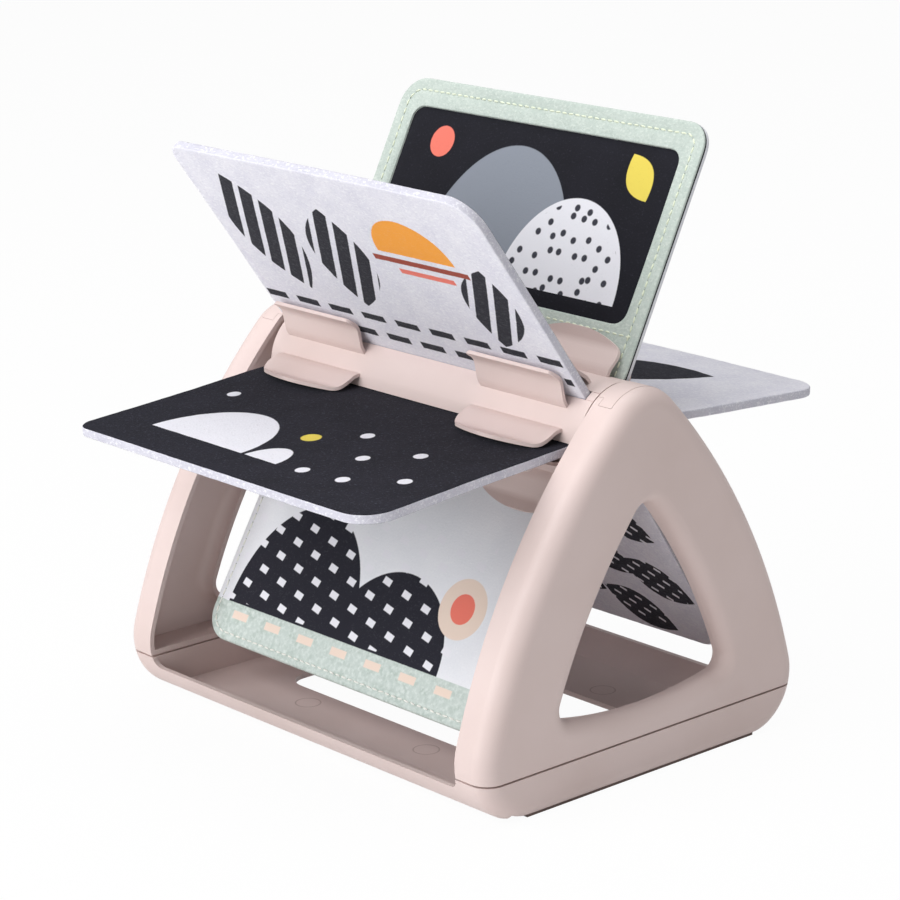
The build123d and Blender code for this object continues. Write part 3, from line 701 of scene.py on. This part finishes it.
def borderRings(board, sewn, seam):
    # Felt border laid over a printed panel: a thin dark gap and a step up at the cut-out, then three layers
    # at the page's edge. Finishes are 0 panel, 2 backing, 3 felt and 4 core
    half = board[2] / 2
    panel, floor = np.array(sewn["panel"]), half - sewn["panelDrop"]
    grow = np.array([-1, 1, -1, 1, 1, 1, 1, 1])
    sewnIn = pageOutline(board, sewn["stitchIn"] + 2.6)
    first, second = (half - depth for depth in sewn["layers"])
    rings = [(panel - 0.35 * grow, floor - 0.05, 0), (panel, floor - sewn["panelGap"], 0),
             (panel, half - 0.3, 3), (panel + 0.12 * grow, half - 0.08, 3), (panel + 0.45 * grow, half, 3)]
    rings += [(panel * (1 - k) + sewnIn * k, half, 3) for k in (0.15, 0.4, 0.65, 0.9)]
    rings += [(outline, z, 3) for outline, z in seam]
    # How far in from the page's edge, height and finish
    edge = [(1.6, half, 3), (0.6, half, 3), (0.2, half - 0.14, 3), (0.0, half - 0.45, 3),
            (0.02, first + 0.12, 3), (0.3, first, 3),
            (0.14, first - 0.12, 4), (0.14, second + 0.12, 4), (0.3, second, 4),
            (0.05, second - 0.15, 2), (0.0, 0.5 - half, 2), (0.22, 0.15 - half, 2), (0.7, -half, 2)]
    rings += [(pageOutline(board, inset), z, finish) for inset, z, finish in edge]
    return (panel - 0.9 * grow, floor), rings


def sewnBoard(pageName, sewn, finishes):
    slot, board, lean, side = pageSizes[pageName]
    half, sewIn = board[2] / 2, sewn["stitchIn"]
    seam = [(pageOutline(board, sewIn + inwards), half - share * padRule["seamDrop"])
            for inwards, share in seamSection]
    backFace = pageOutline(board, sewIn + padRule["faceIn"])
    if "panel" in sewn:
        front, rings = borderRings(board, sewn, seam)
    else:
        front = (backFace, half)
        rings = [(outline, z, 0) for outline, z in seam] + edgeRound(board, padRule["edgeMm"], (0, 2, 1), 1)
    rings += [(outline, -z, 1) for outline, z in reversed(seam)]
    points, faces, kinds = boardMesh(padRule["stepMm"], front, rings, (backFace, -half))
    piece = meshObject(pageName + "_cloth", points, faces, kinds, pageFrame(slot, lean, side),
                       finishes, side < 0)
    # Held in the clips, along the seams and at the cut-out
    held = points[:, 1] < pageRule["clipEnd"] - pageRule["root"]
    for outline, z in seam[2:5]:
        held |= np.isclose(np.abs(points[:, 2]), z, atol=1e-4)
    if "panel" in sewn:
        held |= np.isclose(points[:, 2], front[1] - sewn["panelGap"], atol=1e-4)
    swell(piece, np.nonzero(held)[0], padRule)
    smoothed(piece)
    return piece


def stitchPaths(pageName, sewn, ahead, sink):
    # Round the page on both faces, and across it where there is such a row, in metres
    slot, board, lean, side = pageSizes[pageName]
    place, half = pageFrame(slot, lean, side), board[2] / 2
    path = pageOutline(board, sewn["stitchIn"])
    corner = np.array([(-1, -1), (1, -1), (1, 1), (-1, 1), (-1, -1)])
    turn = (np.linspace(0, 4, 721) + ahead / (path[1] - path[0])) % 4
    q = turn.astype(int)
    spot = corner[q] + (corner[q + 1] - corner[q]) * (turn - q)[:, None]
    u, v = roundedPlace(spot[:, 0], spot[:, 1], path)
    paths = [place(np.stack([u, v, np.full(len(u), facing * (half - sink))], 1)) for facing in (1, -1)]
    if "rowAt" in sewn:
        u = np.linspace(path[0] + ahead, path[1], 200)
        row = np.stack([u, np.full(len(u), sewn["rowAt"]), np.full(len(u), half - sink / 2)], 1)
        paths.append(place(row))
    return paths


# Finishes by number: front, back, edge, and for the bordered page its felt and the core between the layers
sewnFinishes = {
    "green_border_page": [
        printedFabric("printed_cloth_black_panel", blackCloth, prints["green_border_page"][0]),
        printedFabric("printed_cloth_white_back", whiteCloth, prints["green_border_page"][1]),
        printedFabric("cloth_turned_edge_white", whiteCloth),
        printedFabric("heathered_sage_felt", sageFelt),
        printedFabric("black_core_cloth", blackCloth)],
    "banded_fabric_page": [
        printedFabric("printed_cloth_white_front", whiteCloth, prints["banded_fabric_page"][0]),
        printedFabric("printed_cloth_dotted_back", whiteCloth, prints["banded_fabric_page"][1]),
        printedFabric("cloth_turned_edge_band", {**sageFelt, "napShadeShare": 0.2})],
}
# Needle holes: painted shade, small dark beads between the stitches
needleHoleShade = printedFabric("needle_hole_shadow", {**sageFelt, "colour": "#A0AAA0", "shade": "#98A298",
                                                  "fleckShare": 0.0})
for pageName, sewn in sewnPages.items():
    piece = sewnBoard(pageName, sewn, sewnFinishes[pageName])
    thread = sewingThread(*sewn["yarn"])
    pace = sewn["stitchLength"] + sewn["stitchGap"]
    holes = {"stitchLength": padRule["holeLength"], "stitchGap": pace - padRule["holeLength"],
             "threadRadius": padRule["holeRadius"]}
    rows = {"stitches": (sewn, thread, 0.0, padRule["threadSink"]),
            "needle_hole_shade": (holes, needleHoleShade, pace * 1000 / 2, padRule["holeSink"])}
    for rowName, (row, finish, ahead, sink) in rows.items():
        stitches = sewRow(pageName + "_" + rowName, stitchPaths(pageName, sewn, ahead, sink), row, finish)
        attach(stitches, "spinner")
    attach(piece, "spinner")
    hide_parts(pageName)
    print(pageName, "sewn:", len(piece.data.polygons), "faces")


# Floor, light and camera
stageRule = {"floorSize": 6.0, "floor": "#F0F0F0", "whiteShare": 0.96, "world": 0.25}
softBoxes = {
    # Place, aim, size and watts
    "key_soft_box": ((-0.42, -1.6, 1.0), (0, 0, 0.12), (1.7, 1.6), 31.5),
    "top_soft_box": ((0.0, 0.1, 1.5), (0, 0, 0.12), (1.2, 1.2), 12.0),
    "fill_soft_box": ((1.2, -0.9, 0.3), (0, 0, 0.05), (0.9, 0.5), 1.7),
}

floorMesh = bpy.data.meshes.new("studio_floor")
reachOut = stageRule["floorSize"] / 2
floorMesh.from_pydata([(-reachOut, -reachOut, 0), (reachOut, -reachOut, 0), (reachOut, reachOut, 0),
                       (-reachOut, reachOut, 0)], [], [(0, 1, 2, 3)])
floor = bpy.data.objects.new("studio_floor", floorMesh)
bpy.context.scene.collection.objects.link(floor)
floorMaterial, tree, shader = newMaterial("studio_floor_paper")
shader.inputs["Base Color"].default_value = srgb(stageRule["floor"])
shader.inputs["Roughness"].default_value = 0.9
rays = addNode(tree, "ShaderNodeLightPath")
seen = addNode(tree, "ShaderNodeMath", {"operation": "MAXIMUM"},
               {0: rays.outputs["Is Camera Ray"], 1: rays.outputs["Is Glossy Ray"]})
share = addNode(tree, "ShaderNodeMath", {"operation": "MULTIPLY"}, {0: seen, 1: stageRule["whiteShare"]})
white = addNode(tree, "ShaderNodeEmission", {}, {"Color": (1, 1, 1, 1), "Strength": 1.0})
mixed = addNode(tree, "ShaderNodeMixShader", {}, {0: share, 1: shader, 2: white})
surface = next(n for n in tree.nodes if n.type == "OUTPUT_MATERIAL").inputs["Surface"]
tree.links.new(mixed.outputs[0], surface)
floorMesh.materials.append(floorMaterial)

world = bpy.data.worlds.new("studio")
bpy.context.scene.world = world
world.use_nodes = True
tree = world.node_tree
tree.nodes.clear()
rays = addNode(tree, "ShaderNodeLightPath")
seen = addNode(tree, "ShaderNodeMath", {"operation": "MAXIMUM"},
               {0: rays.outputs["Is Camera Ray"], 1: rays.outputs["Is Transmission Ray"]})
level = addNode(tree, "ShaderNodeMapRange", {}, {"Value": seen, 3: stageRule["world"], 4: 1.0})
sky = addNode(tree, "ShaderNodeBackground", {}, {"Color": (1, 1, 1, 1), "Strength": level})
addNode(tree, "ShaderNodeOutputWorld", {}, {"Surface": sky})

for name, (place, aim, size, power) in softBoxes.items():
    data = bpy.data.lights.new(name, "AREA")
    data.shape = "RECTANGLE"
    data.size, data.size_y = size
    data.energy = power
    lamp = bpy.data.objects.new(name, data)
    lamp.location = place
    lamp.rotation_euler = (Vector(aim) - Vector(place)).to_track_quat("-Z", "Y").to_euler()
    lamp.visible_camera = False
    bpy.context.scene.collection.objects.link(lamp)

# The photograph's view, for a square image
view = {"azimuth": 47.683, "elevation": 15.760, "roll": -0.362, "target": (-0.00272, 0.0, 0.10454),
        "distance": 1.19758, "lens": 122.8616, "sensor": 36.0}
az, el, roll = (math.radians(view[k]) for k in ("azimuth", "elevation", "roll"))
back = Vector((math.sin(az) * math.cos(el), -math.cos(az) * math.cos(el), math.sin(el)))
right = Vector((math.cos(az), math.sin(az), 0))
up = back.cross(right)
right, up = right * math.cos(roll) + up * math.sin(roll), up * math.cos(roll) - right * math.sin(roll)
cameraData = bpy.data.cameras.new("photo_view")
cameraData.lens, cameraData.sensor_width = view["lens"], view["sensor"]
camera = bpy.data.objects.new("photo_view", cameraData)
stand = Matrix((right, up, back)).transposed().to_4x4()
stand.translation = Vector(view["target"]) + back * view["distance"]
camera.matrix_world = stand
bpy.context.scene.collection.objects.link(camera)
bpy.context.scene.camera = camera
bpy.context.scene.view_settings.view_transform = "Standard"
print("stage, light and camera set")
